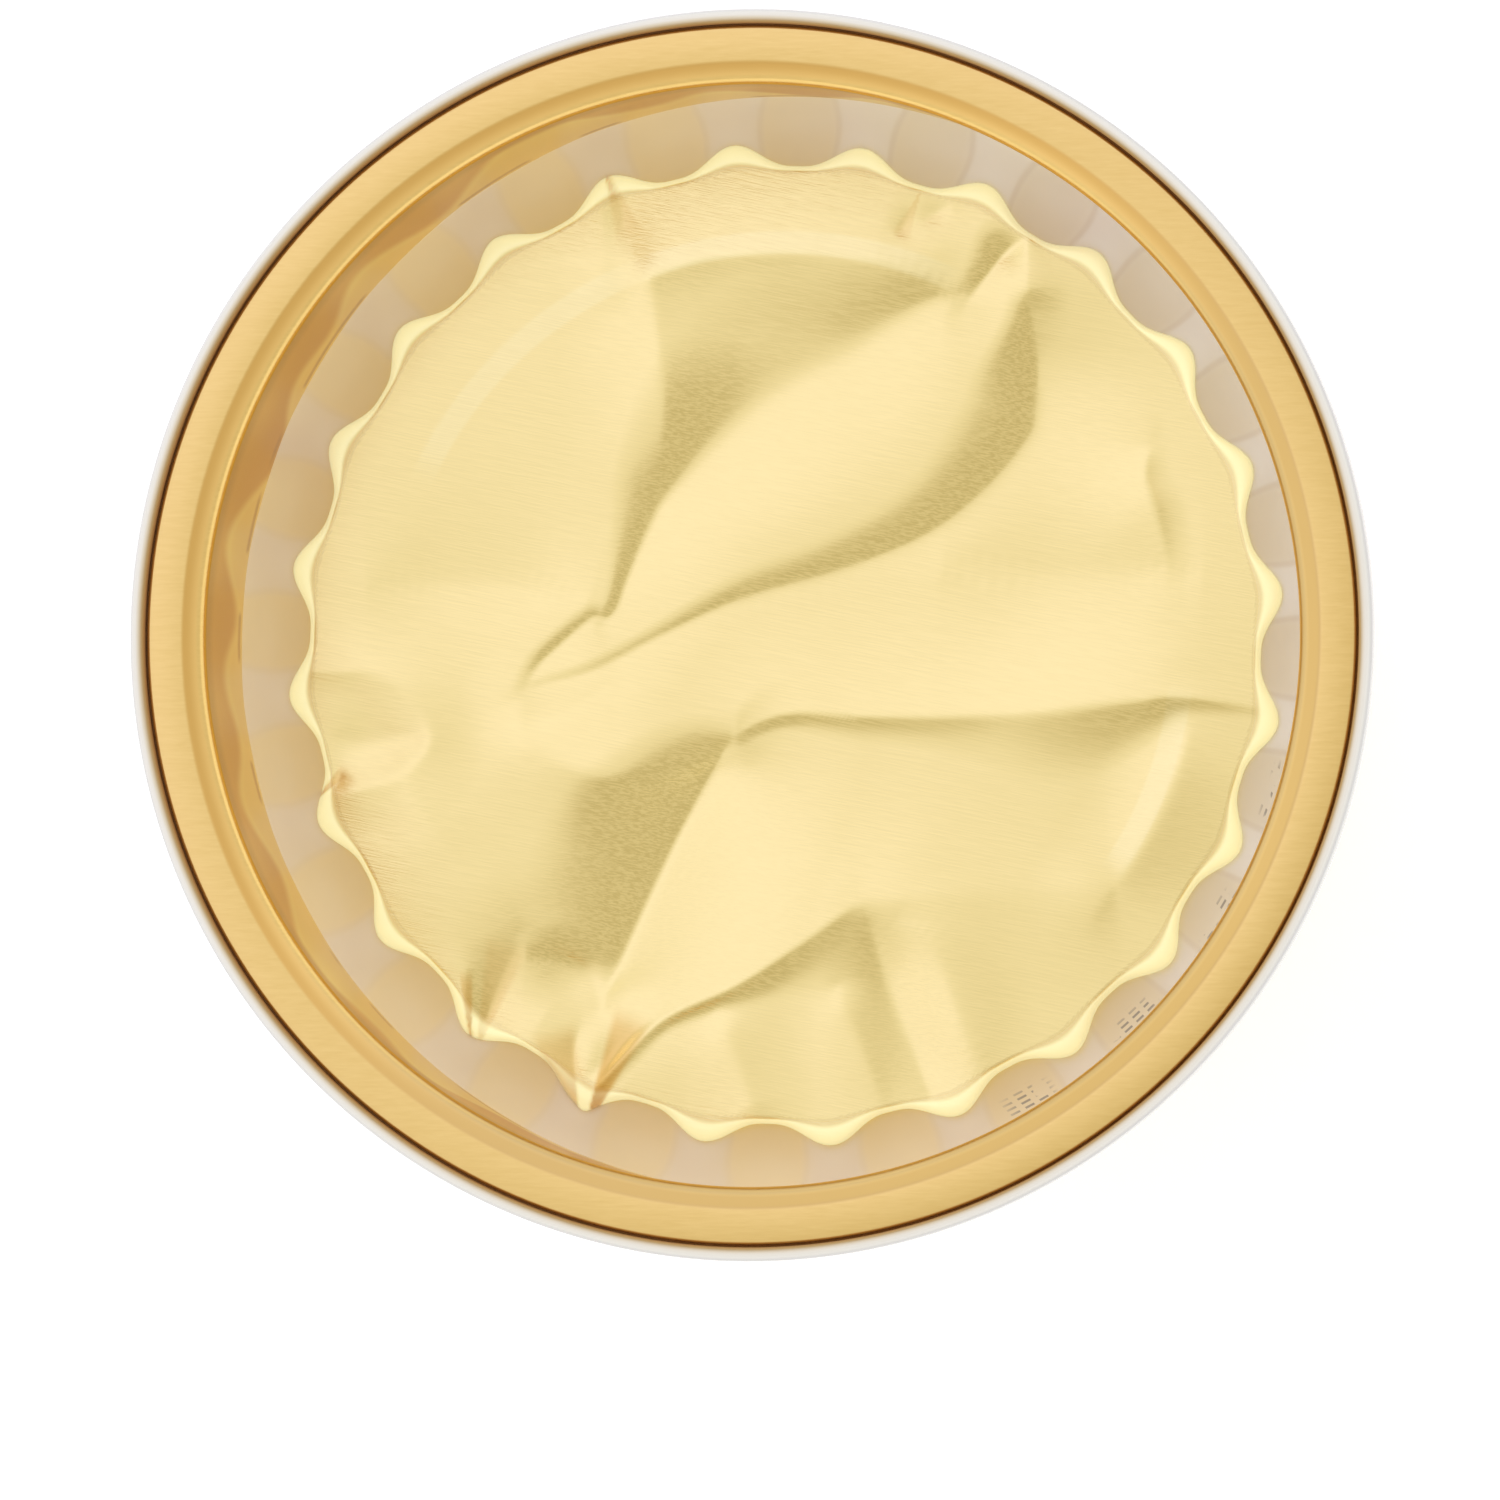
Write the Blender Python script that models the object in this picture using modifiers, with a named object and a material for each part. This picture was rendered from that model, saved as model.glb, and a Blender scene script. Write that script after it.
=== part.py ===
"""Yogurt pot: a tapered white pot with a rolled rim, a gold lip ring, a pleated liner and a crumpled foil seal.

The pot stands on z = 0 and its axis is the world Z axis. The foil's folds are laid out in the XY plane, with
+Y away from a person who looks down into the pot. Sizes are in millimetres and turn to metres in points().
"""
import math

import bmesh
import bpy
import numpy as np

MM = 0.001
GAP = 0.3

POT_HEIGHT = 95.0
RIM_RADIUS = 49.5
RIM_INNER_RADIUS = 48.25
RIM_BAND_HEIGHT = 2.4
COLLAR_RADIUS = 48.0
COLLAR_BOTTOM_Z = 82.0
WALL_TOP_RADIUS = 47.3
FOOT_RADIUS = 38.7
FOOT_CORNER = 1.5
BASE_PANEL_RADIUS = 34.0
BASE_PANEL_RISE = 1.5
ROUND_STEPS = 60

RING_TOP_Z = 94.1
RING_RADIUS = RIM_INNER_RADIUS - GAP
RING_SHEET = 0.6
RING_SLOPE_RADIUS = 45.4
LIP_RADIUS = 43.65
LIP_Z = 92.3
SLEEVE_BOTTOM_RADIUS = 44.5
SLEEVE_SHEET = 0.5
FLOOR_Z = 69.5

FLUTES = 24
FLUTE_PHASE = math.radians(5.7)
FLUTE_STEPS = 4
FOIL_CREST_RADIUS = 40.6
FOIL_VALLEY_RADIUS = 38.75
FLUTE_ROOT_RADIUS = 34.5
FLUTE_SHARPNESS = 1.5
FLUTE_RISE = 0.35
FOIL_Z = 73.0
FOIL_BOTTOM_Z = 71.6
BAND_INNER_RADIUS = 31.5
BAND_OUTER_RADIUS = 33.5
BAND_RISE = 0.2

LINER_RADIUS = SLEEVE_BOTTOM_RADIUS - GAP - 0.05
LINER_BOTTOM_Z = FLOOR_Z + GAP
LINER_SHELF_Z = FOIL_BOTTOM_Z - GAP
LINER_RISE = 1.7
LINER_LOBE_DIP = 0.9

# Each fold of the foil: the points of its line, its height, and how far it reaches to the left and to the right
# of somebody who walks along it. A negative height is a valley.
FOLDS = (
    ([(15, 28), (7.5, 25.7), (-0.2, 20), (-6.6, 15), (-10.5, 9.5), (-13.3, 3.6)], -0.7, 2.5, 6.0),
    ([(-13.3, 3.6), (-15.7, 2.2), (-19.5, -1.3), (-21.6, -4.2)], -0.3, 1.6, 2.6),
    ([(19.8, 32), (18.8, 23), (14, 13.5), (6.3, 7.3), (-1.5, 4.9), (-9.3, 1.6), (-19.5, -3.2)], -0.55, 3.0, 3.2),
    ([(40, -5.6), (32, -4.5), (23.4, -6.1), (16, -6.6), (7.5, -6.3), (-3.3, -7.4)], 0.6, 3.4, 7.5),
    ([(-3.3, -7.4), (-6.7, -11.5), (-10.9, -21), (-14.8, -28.1)], -0.8, 3.2, 8.0),
    ([(-3.3, -7.4), (-9.3, -10), (-17, -10), (-21.6, -4.8)], 0.45, 3.0, 5.0),
    ([(-16.3, -38), (-11.5, -32.8), (-6, -29.7), (4.4, -22.1), (13, -20.8), (26, -20.2)], 0.6, 4.0, 3.6),
    ([(7.8, -22), (9.3, -29), (12.6, -37.7)], -0.35, 2.0, 2.2),
    ([(-39.4, -1.9), (-33.5, -2.2), (-29.3, -6.8), (-32, -11), (-36.8, -11.8)], 0.35, 3.0, 2.4),
    ([(-24.9, -31.7), (-24.6, -24), (-19.3, -24.7), (-15.2, -27.8)], 0.4, 2.4, 2.0),
    ([(-14.7, 37.8), (-12.8, 32), (-13.5, 29)], 0.5, 2.0, 1.8),
)
FOLD_STEPS = 6


def points(pairs):
    """Turn (radius, height) pairs in millimetres into points at +X in metres."""
    return [(radius * MM, 0.0, height * MM) for radius, height in pairs]


def arc(centre, radii, start, end, steps):
    """Points of an elliptic arc, with the angles in degrees from +X towards +Z."""
    turns = [math.radians(start + (end - start) * i / steps) for i in range(steps + 1)]
    return [(centre[0] + radii[0] * math.cos(t), centre[1] + radii[1] * math.sin(t)) for t in turns]


def material(name, colour, roughness, metallic=0.0, alpha=1.0):
    """Make a Principled material."""
    made = bpy.data.materials.new(name)
    made.use_nodes = True
    shader = made.node_tree.nodes["Principled BSDF"]
    shader.inputs["Base Color"].default_value = (*colour, 1.0)
    shader.inputs["Roughness"].default_value = roughness
    shader.inputs["Metallic"].default_value = metallic
    shader.inputs["Alpha"].default_value = alpha
    return made


def turned(name, profile, steps, closed, finish, collection):
    """Turn a profile round the Z axis with a Screw modifier. A closed profile is a ring that misses the axis."""
    count = len(profile)
    edges = [(i, i + 1) for i in range(count - 1)]
    if closed:
        edges.append((count - 1, 0))
    mesh = bpy.data.meshes.new(name)
    mesh.from_pydata(points(profile), edges, [])
    mesh.materials.append(finish)
    piece = bpy.data.objects.new(name, mesh)
    collection.objects.link(piece)
    screw = piece.modifiers.new("turn", "SCREW")
    screw.axis = "Z"
    screw.steps = steps
    screw.render_steps = steps
    screw.use_merge_vertices = True
    screw.merge_threshold = 0.00001
    screw.use_smooth_shade = True
    return piece


def shaped(piece, move):
    """Apply the turning and move each vertex, given in millimetres as x, y, z arrays, by the function move."""
    depsgraph = bpy.context.evaluated_depsgraph_get()
    mesh = bpy.data.meshes.new_from_object(piece.evaluated_get(depsgraph))
    piece.modifiers.clear()
    piece.data = mesh
    where = np.empty(len(mesh.vertices) * 3)
    mesh.vertices.foreach_get("co", where)
    x, y, z = (where.reshape(-1, 3) / MM).T
    mesh.vertices.foreach_set("co", (np.stack(move(x, y, z), axis=1) * MM).ravel())
    work = bmesh.new()
    work.from_mesh(mesh)
    bmesh.ops.remove_doubles(work, verts=work.verts, dist=0.00001)
    bmesh.ops.triangulate(work, faces=work.faces)
    bmesh.ops.recalc_face_normals(work, faces=work.faces)
    work.to_mesh(mesh)
    work.free()
    mesh.update()


def blend(value, low, high):
    """Rise smoothly from 0 at low to 1 at high."""
    t = np.clip((value - low) / (high - low), 0.0, 1.0)
    return t * t * (3 - 2 * t)


def flute(angle):
    """1 on the crest of each flute, 0 in the valley, with narrow crests and wide valleys."""
    wave = (1 + np.cos(FLUTES * (angle - FLUTE_PHASE))) / 2
    return wave ** FLUTE_SHARPNESS


def foil_edge(angle):
    """The foil's radius at an angle."""
    return FOIL_VALLEY_RADIUS + (FOIL_CREST_RADIUS - FOIL_VALLEY_RADIUS) * flute(angle)


def smooth_line(corners, steps):
    """A Catmull-Rom curve through the corners, as an array of points."""
    knots = np.array([corners[0], *corners, corners[-1]], float)
    line = []
    for i in range(1, len(knots) - 2):
        before, start, end, after = knots[i - 1:i + 3]
        for t in np.arange(steps) / steps:
            line.append(0.5 * (2 * start + (end - before) * t + (2 * before - 5 * start + 4 * end - after) * t ** 2
                               + (3 * start - before - 3 * end + after) * t ** 3))
    line.append(knots[-1])
    return np.array(line)


def fold_relief(x, y, corners, height, reach_left, reach_right):
    """A crease along a line: highest on the line, falling off to each side and past both ends."""
    line = smooth_line(corners, FOLD_STEPS)
    nearest = np.full(x.shape, np.inf)
    side = np.zeros(x.shape)
    along = np.zeros(x.shape)
    for i, (start, end) in enumerate(zip(line[:-1], line[1:])):
        run = end - start
        length = np.hypot(*run)
        t = np.clip(((x - start[0]) * run[0] + (y - start[1]) * run[1]) / length ** 2, 0, 1)
        away_x = x - start[0] - t * run[0]
        away_y = y - start[1] - t * run[1]
        distance = np.hypot(away_x, away_y)
        closer = distance < nearest
        nearest = np.where(closer, distance, nearest)
        side = np.where(closer, run[0] * away_y - run[1] * away_x, side)
        along = np.where(closer, (i + t) / (len(line) - 1), along)
    reach = np.where(side > 0, reach_left, reach_right)
    ends = blend(along, -0.05, 0.12) * blend(1 - along, -0.05, 0.12)
    return height * ends * np.exp(-nearest / reach)


def foil_shape(x, y, z):
    """Flute the turned foil's edge and crumple its top."""
    radius = np.hypot(x, y)
    angle = np.arctan2(y, x)
    edge = foil_edge(angle)
    spread = np.clip((radius - FLUTE_ROOT_RADIUS) / (FOIL_CREST_RADIUS - FLUTE_ROOT_RADIUS), 0, 1)
    new_radius = np.where(radius > FLUTE_ROOT_RADIUS, FLUTE_ROOT_RADIUS + spread * (edge - FLUTE_ROOT_RADIUS), radius)
    new_x = new_radius * np.cos(angle)
    new_y = new_radius * np.sin(angle)
    relief = sum(fold_relief(new_x, new_y, *fold) for fold in FOLDS)
    stiff = blend(new_radius, BAND_INNER_RADIUS - 1.5, BAND_INNER_RADIUS) * blend(-new_radius, -36.5, -34.0)
    relief = relief * (1 - 0.7 * stiff) * (1 - blend(spread, 0.55, 1.0))
    relief += FLUTE_RISE * (2 * flute(angle) - 1) * blend(spread, 0.2, 0.8) * (1 - blend(spread, 0.85, 1.0))
    top = z > FOIL_BOTTOM_Z + 0.6
    return new_x, new_y, np.where(top, z + relief, z)


def liner_shape(x, y, z):
    """Raise the liner's pleated shelf outside the foil: a ridge at each foil crest, a dished lobe in each valley."""
    radius = np.hypot(x, y)
    angle = np.arctan2(y, x)
    start = foil_edge(angle) + GAP
    out = blend(radius, start, start + 1.6)
    dished = (1 - flute(angle)) * np.sin(np.pi * np.clip((radius - start) / (LINER_RADIUS - start), 0, 1))
    top = z > LINER_SHELF_Z - 0.1
    return x, y, np.where(top, z + LINER_RISE * out - LINER_LOBE_DIP * np.maximum(dished, 0) * out, z)


def make_pot_body(collection, finish):
    """The white pot: a solid below the recess floor, a wall, a rolled rim, a stacking ledge and a foot."""
    rim_mid = (RIM_RADIUS + RIM_INNER_RADIUS) / 2
    rim_half = (RIM_RADIUS - RIM_INNER_RADIUS) / 2
    crown_height = 0.75
    crown_z = POT_HEIGHT - crown_height
    shoulder_z = RING_TOP_Z - RING_SHEET - GAP
    profile = [
        (0, FLOOR_Z),
        (SLEEVE_BOTTOM_RADIUS + SLEEVE_SHEET + GAP, FLOOR_Z),
        (LIP_RADIUS + SLEEVE_SHEET + GAP, LIP_Z - 0.1),
        (RING_SLOPE_RADIUS - 0.1, shoulder_z),
        (RIM_INNER_RADIUS, shoulder_z),
        *arc((rim_mid, crown_z), (rim_half, crown_height), 180, 0, 6),
        (RIM_RADIUS, crown_z - RIM_BAND_HEIGHT + 0.5),
        (RIM_RADIUS - 0.35, crown_z - RIM_BAND_HEIGHT),
        (COLLAR_RADIUS + 0.35, crown_z - RIM_BAND_HEIGHT - 0.1),
        (COLLAR_RADIUS, crown_z - RIM_BAND_HEIGHT - 0.7),
        (COLLAR_RADIUS - 0.2, COLLAR_BOTTOM_Z + 0.4),
        (WALL_TOP_RADIUS, COLLAR_BOTTOM_Z - 0.3),
        (FOOT_RADIUS + FOOT_CORNER + 0.3, FOOT_CORNER + 1.2),
        *arc((FOOT_RADIUS, FOOT_CORNER), (FOOT_CORNER, FOOT_CORNER), 0, -90, 3),
        (BASE_PANEL_RADIUS, 0),
        (BASE_PANEL_RADIUS - BASE_PANEL_RISE, BASE_PANEL_RISE),
        (0, BASE_PANEL_RISE),
    ]
    return turned("pot_body", profile, ROUND_STEPS, False, finish, collection)


def make_gold_ring(collection, finish):
    """The gold ring: a flat annulus, a step down to a rounded lip, and the sleeve that lines the recess."""
    under_z = RING_TOP_Z - RING_SHEET
    profile = [
        (RING_RADIUS - 0.25, RING_TOP_Z),
        (RING_RADIUS, RING_TOP_Z - 0.25),
        (RING_RADIUS, under_z),
        (RING_SLOPE_RADIUS - 0.2, under_z),
        (LIP_RADIUS + SLEEVE_SHEET + 0.15, LIP_Z + 0.4),
        (LIP_RADIUS + SLEEVE_SHEET, LIP_Z - 0.1),
        (SLEEVE_BOTTOM_RADIUS + SLEEVE_SHEET, LINER_BOTTOM_Z),
        (SLEEVE_BOTTOM_RADIUS, LINER_BOTTOM_Z),
        (LIP_RADIUS, LIP_Z),
        *arc((LIP_RADIUS + 0.5, LIP_Z + 0.15), (0.5, 0.7), 165, 90, 3),
        (RING_SLOPE_RADIUS, RING_TOP_Z),
    ]
    return turned("gold_ring", profile, ROUND_STEPS, True, finish, collection)


def make_liner(collection, finish):
    """The pleated translucent liner that carries the foil, turned as a plate and then pleated."""
    shelf_radii = [0, FOIL_VALLEY_RADIUS - 0.6, FOIL_VALLEY_RADIUS + 0.4]
    step = 1.05
    while shelf_radii[-1] + step < LINER_RADIUS:
        shelf_radii.append(shelf_radii[-1] + step)
    shelf_radii.append(LINER_RADIUS)
    profile = [(radius, LINER_SHELF_Z) for radius in shelf_radii]
    profile += [(LINER_RADIUS, LINER_BOTTOM_Z), (0, LINER_BOTTOM_Z)]
    piece = turned("pleated_liner", profile, FLUTES * FLUTE_STEPS, False, finish, collection)
    shaped(piece, liner_shape)
    return piece


def make_foil(collection, finish):
    """The foil seal, turned as a plate with an embossed band and a turned-down edge, then fluted and crumpled."""
    top_radii = list(np.arange(0, BAND_INNER_RADIUS - 1.5, 2.6))
    profile = [(radius, FOIL_Z) for radius in top_radii]
    profile += [
        (BAND_INNER_RADIUS - 0.3, FOIL_Z),
        (BAND_INNER_RADIUS + 0.2, FOIL_Z + BAND_RISE),
        (BAND_OUTER_RADIUS - 0.2, FOIL_Z + BAND_RISE),
        (BAND_OUTER_RADIUS + 0.3, FOIL_Z),
        (36.0, FOIL_Z),
        (38.2, FOIL_Z),
        (FOIL_CREST_RADIUS - 0.8, FOIL_Z),
        (FOIL_CREST_RADIUS - 0.15, FOIL_Z - 0.35),
        (FOIL_CREST_RADIUS, FOIL_BOTTOM_Z),
        (0, FOIL_BOTTOM_Z),
    ]
    piece = turned("foil_seal", profile, FLUTES * FLUTE_STEPS, False, finish, collection)
    shaped(piece, foil_shape)
    return piece


def main():
    for old in list(bpy.data.objects):
        bpy.data.objects.remove(old)
    collection = bpy.data.collections.new("yogurt_pot")
    bpy.context.scene.collection.children.link(collection)
    make_pot_body(collection, material("pot_white", (0.86, 0.86, 0.85), 0.25))
    make_gold_ring(collection, material("ring_gold", (0.78, 0.58, 0.25), 0.35, metallic=1.0))
    make_liner(collection, material("liner_film", (0.72, 0.63, 0.56), 0.3))
    make_foil(collection, material("foil_gold", (0.93, 0.81, 0.45), 0.3, metallic=1.0))


main()
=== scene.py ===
# %% [markdown]
# # A yogurt pot with a crumpled foil seal
# The pot is seen from above: a white rolled rim, a gold ring inside it, and deep in the recess a pleated film
# and a fluted gold foil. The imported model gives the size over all, and this script dresses it for the camera.
# Sizes are in millimetres unless a comment says otherwise, with the pot's axis at the origin and +Z up.

# %% Load the frame
import math

import bmesh
import bpy
import numpy as np
from mathutils import Matrix, Vector


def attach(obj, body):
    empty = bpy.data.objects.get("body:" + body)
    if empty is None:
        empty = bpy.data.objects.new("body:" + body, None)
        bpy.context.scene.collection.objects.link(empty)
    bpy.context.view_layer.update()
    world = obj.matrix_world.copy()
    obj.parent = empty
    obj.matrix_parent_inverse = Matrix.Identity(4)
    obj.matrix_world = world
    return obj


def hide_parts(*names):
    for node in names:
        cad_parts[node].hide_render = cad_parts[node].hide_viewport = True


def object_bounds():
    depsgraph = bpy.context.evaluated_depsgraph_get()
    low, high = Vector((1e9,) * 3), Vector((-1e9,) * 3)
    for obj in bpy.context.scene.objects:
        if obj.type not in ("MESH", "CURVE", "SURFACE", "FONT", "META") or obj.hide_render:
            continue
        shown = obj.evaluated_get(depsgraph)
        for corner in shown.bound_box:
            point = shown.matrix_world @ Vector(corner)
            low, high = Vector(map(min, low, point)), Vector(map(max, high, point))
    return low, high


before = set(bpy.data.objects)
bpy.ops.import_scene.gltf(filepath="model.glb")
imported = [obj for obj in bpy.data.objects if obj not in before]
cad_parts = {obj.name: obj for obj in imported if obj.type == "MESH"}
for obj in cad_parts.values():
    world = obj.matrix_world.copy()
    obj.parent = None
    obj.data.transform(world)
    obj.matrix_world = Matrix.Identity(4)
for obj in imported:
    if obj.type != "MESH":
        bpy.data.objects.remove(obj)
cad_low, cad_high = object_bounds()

MM = 0.001
TOP = cad_high.z / MM
RIM_R = cad_high.x / MM
print(f"pot {2 * RIM_R:.1f} mm across and {TOP:.1f} mm high, nodes {sorted(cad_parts)}")

# %% [markdown]
# ## The camera
# The photo looks straight down, but the deep foil sits a little to the right of the rim. That happens when the
# camera stands a few degrees off the pot's axis, so it is placed by that tilt and turned so that +Y stays up in
# the picture. The lens is long, because the camera stands far off, and it is worked out from how many pixels a
# millimetre takes. A tilted camera sees a circle a hundredth shorter along the tilt, so the scale is set a little
# higher than the photo's.

# %% Place the camera
PICTURE_PX = 1500
PX_PER_MM = 12.66
POT_CENTRE_PX = (747.5, 634.2)
CAMERA_RISE = 900.0
CAMERA_FOOT = (120.8, -35.4)
SENSOR = 36.0
RIM_PLANE_Z = 94.1

half = PICTURE_PX / 2
aim = Vector(((half - POT_CENTRE_PX[0]) / PX_PER_MM, (POT_CENTRE_PX[1] - half) / PX_PER_MM, RIM_PLANE_Z)) * MM
stand = Vector((*CAMERA_FOOT, RIM_PLANE_Z + CAMERA_RISE)) * MM
forward = (aim - stand).normalized()
right = forward.cross(Vector((0, 1, 0))).normalized()
up = right.cross(forward)
camera_data = bpy.data.cameras.new("camera")
camera_data.sensor_width = SENSOR
camera_data.lens = SENSOR * PX_PER_MM / PICTURE_PX * (aim - stand).length / MM
camera = bpy.data.objects.new("camera", camera_data)
camera.matrix_world = Matrix((right, up, -forward)).transposed().to_4x4()
camera.location = stand
bpy.context.collection.objects.link(camera)
bpy.context.scene.camera = camera
bpy.context.scene.view_settings.view_transform = "Standard"
print(f"camera tilt {math.degrees(math.acos(-forward.z)):.1f} degrees, lens {camera_data.lens:.0f} mm")

# %% [markdown]
# ## Floor and light
# Metal shows what it reflects, so the lights are laid out for the foil: a broad soft light to the upper left
# gives the bright facets, and the lower right is left dimmer, so that facets that turn that way go dark. A ring
# of low lamps lights the pot's side evenly. The floor glows a little, so that it is as white as studio paper.

# %% Lay the floor
FLOOR_REACH = 3.0  # in metres, from its middle to its side
FLOOR_COLOUR = (0.93, 0.93, 0.93)
FLOOR_ROUGHNESS = 0.9
FLOOR_GLOW = 0.22


def glowing_paper(name, colour, roughness, glow):
    """A plain matt material that gives off some white light of its own."""
    made = bpy.data.materials.new(name)
    made.use_nodes = True
    shader = made.node_tree.nodes["Principled BSDF"]
    shader.inputs["Base Color"].default_value = (*colour, 1)
    shader.inputs["Roughness"].default_value = roughness
    shader.inputs["Emission Color"].default_value = (1, 1, 1, 1)
    shader.inputs["Emission Strength"].default_value = glow
    return made


floor_mesh = bpy.data.meshes.new("floor")
shape = bmesh.new()
bmesh.ops.create_grid(shape, x_segments=1, y_segments=1, size=FLOOR_REACH)
shape.to_mesh(floor_mesh)
shape.free()
floor = bpy.data.objects.new("floor", floor_mesh)
floor.data.materials.append(glowing_paper("floor_white", FLOOR_COLOUR, FLOOR_ROUGHNESS, FLOOR_GLOW))
bpy.context.collection.objects.link(floor)
print(f"floor {2 * FLOOR_REACH:.0f} m wide")

# %% Hang the lights
# Lights are placed in metres and degrees.
LIGHT_TURN = 135
LIGHT_WIDTH = 2.2
# How far beyond the pot's axis each light starts, its length, its height, its colour and its brightness.
LIGHTS = {
    "wide_soft_light": (-0.08, 1.68, 1.27, (0.60, 0.66, 1.0), 0.32),
    "window_light": (0.225, 0.60, 1.30, (0.46, 0.48, 1.0), 0.35),
}
SIDE_LIGHT_TURNS = range(0, 360, 45)
SIDE_LIGHT_RISE = 25
SIDE_LIGHT_SIZE = (0.8, 0.8)
SIDE_LIGHT_BRIGHTNESS = 0.4
WORLD_COLOUR = (1.0, 0.94, 0.83)
WORLD_STRENGTH = 0.70


def hang(name, place, size, colour, brightness, aimed_at=None):
    """Hang a soft area light whose face has the given radiance. It faces down, or towards a point."""
    lamp = bpy.data.lights.new(name, "AREA")
    lamp.shape = "RECTANGLE"
    lamp.size, lamp.size_y = size
    lamp.color = colour
    lamp.energy = brightness * math.pi * size[0] * size[1]
    hung = bpy.data.objects.new(name, lamp)
    hung.location = place
    if aimed_at:
        hung.rotation_euler = (Vector(aimed_at) - hung.location).to_track_quat("-Z", "Y").to_euler()
    hung.visible_camera = False
    bpy.context.collection.objects.link(hung)
    return hung


for name, (start, length, height, colour, brightness) in LIGHTS.items():
    level = math.radians(LIGHT_TURN)
    away = start + length / 2
    place = (away * math.cos(level), away * math.sin(level), height)
    light = hang(name, place, (length, LIGHT_WIDTH), colour, brightness)
    light.rotation_euler = (0, 0, level)
for turn in SIDE_LIGHT_TURNS:
    level, rise = math.radians(turn), math.radians(SIDE_LIGHT_RISE)
    place = (math.cos(level) * math.cos(rise), math.sin(level) * math.cos(rise), math.sin(rise))
    hang(f"side_light_{turn}", place, SIDE_LIGHT_SIZE, (1, 1, 1), SIDE_LIGHT_BRIGHTNESS, aimed_at=(0, 0, 0))
world = bpy.data.worlds.new("studio")
world.use_nodes = True
world.node_tree.nodes["Background"].inputs["Color"].default_value = (*WORLD_COLOUR, 1)
world.node_tree.nodes["Background"].inputs["Strength"].default_value = WORLD_STRENGTH
bpy.context.scene.world = world
print(f"{len(LIGHTS)} broad lights above and {len(SIDE_LIGHT_TURNS)} low ones around the pot")

# %% [markdown]
# ## Shader maths in Python
# A pattern is a formula, and a formula reads best as an expression. This class wraps a socket, so that
# `1 - mask * 0.5` adds its own Math nodes, and one method adds any other node.


# %% A socket with operators
class Shade:
    """A socket whose Python operators add Math nodes to its tree."""

    def __init__(self, tree, socket):
        self.tree = tree
        self.socket = socket

    def node(self, kind, inputs, settings=None, out=0):
        """Add a node: its settings first, then the values or links of its sockets."""
        made = self.tree.nodes.new(kind)
        for name, value in (settings or {}).items():
            if name == "stops":
                ramp = made.color_ramp
                while len(ramp.elements) < len(value):
                    ramp.elements.new(0.5)
                for element, (place, colour) in zip(ramp.elements, value):
                    element.position = place
                    element.color = (*colour, 1)
            else:
                setattr(made, name, value)
        for name, value in inputs.items():
            if isinstance(value, Shade):
                self.tree.links.new(value.socket, made.inputs[name])
            else:
                made.inputs[name].default_value = value
        return Shade(self.tree, made.outputs[out])

    def maths(self, operation, *values):
        """One Math node."""
        return self.node("ShaderNodeMath", dict(enumerate(values)), {"operation": operation})

    def __add__(self, other):
        return self.maths("ADD", self, other)

    __radd__ = __add__

    def __sub__(self, other):
        return self.maths("SUBTRACT", self, other)

    def __rsub__(self, other):
        return self.maths("SUBTRACT", other, self)

    def __mul__(self, other):
        return self.maths("MULTIPLY", self, other)

    __rmul__ = __mul__

    def sine(self):
        """The sine of this value, in radians."""
        return self.maths("SINE", self)

    def rise(self, low, high):
        """0 below low, 1 above high, smooth between."""
        return self.node("ShaderNodeMapRange", {"Value": self, "From Min": low, "From Max": high},
                         {"interpolation_type": "SMOOTHSTEP"})

    def mix(self, first, second):
        """Mix two colours, with this value as the factor."""
        return self.node("ShaderNodeMix", {0: self, 6: first, 7: second}, {"data_type": "RGBA"}, out=2)


def finish(name, slot_values):
    """A Principled material with constants on its sockets. Returns it, its shader and its object coordinates."""
    made = bpy.data.materials.new(name)
    made.use_nodes = True
    tree = made.node_tree
    shader = tree.nodes["Principled BSDF"]
    for socket, value in slot_values.items():
        shader.inputs[socket].default_value = value
    coordinates = tree.nodes.new("ShaderNodeTexCoord")
    return made, shader, Shade(tree, coordinates.outputs["Object"])


def opaque(red, green, blue):
    """A colour with the fourth value that a socket wants."""
    return red, green, blue, 1


def feed(shader, socket, value):
    """Link a Shade into one socket of the shader."""
    value.tree.links.new(value.socket, shader.inputs[socket])


def along(place, direction):
    """How far a place lies along a direction, in millimetres."""
    per_mm = tuple(part / MM for part in direction)
    return place.node("ShaderNodeVectorMath", {0: place, 1: per_mm}, {"operation": "DOT_PRODUCT"}, out=1)


def off_axis(place):
    """How far a place is from the pot's axis, in millimetres."""
    flat = place.node("ShaderNodeVectorMath", {0: place, 1: (1 / MM, 1 / MM, 0)}, {"operation": "MULTIPLY"})
    return flat.node("ShaderNodeVectorMath", {0: flat}, {"operation": "LENGTH"}, out=1)


def painted_tone(place, name):
    """The value that a piece's mesh stores under a name."""
    return place.node("ShaderNodeAttribute", {}, {"attribute_name": name}, out=2)


print("shader maths ready")

# %% [markdown]
# ## Turned pieces
# The pot and the ring are turned shapes. Cylinders and tori would leave seams between them, so a profile is drawn
# once at +X and spun a full turn, and the seam is merged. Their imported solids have 60 sides, which is enough for
# measuring. These have many more, so that the glossy rim has a clean highlight.

# %% Spin a profile
SPIN_STEPS = 288


def arc(centre, radii, start, end, steps):
    """Points of an elliptic arc, in degrees from +X towards +Z."""
    turns = [math.radians(start + (end - start) * i / steps) for i in range(steps + 1)]
    return [(centre[0] + radii[0] * math.cos(t), centre[1] + radii[1] * math.sin(t)) for t in turns]


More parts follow.
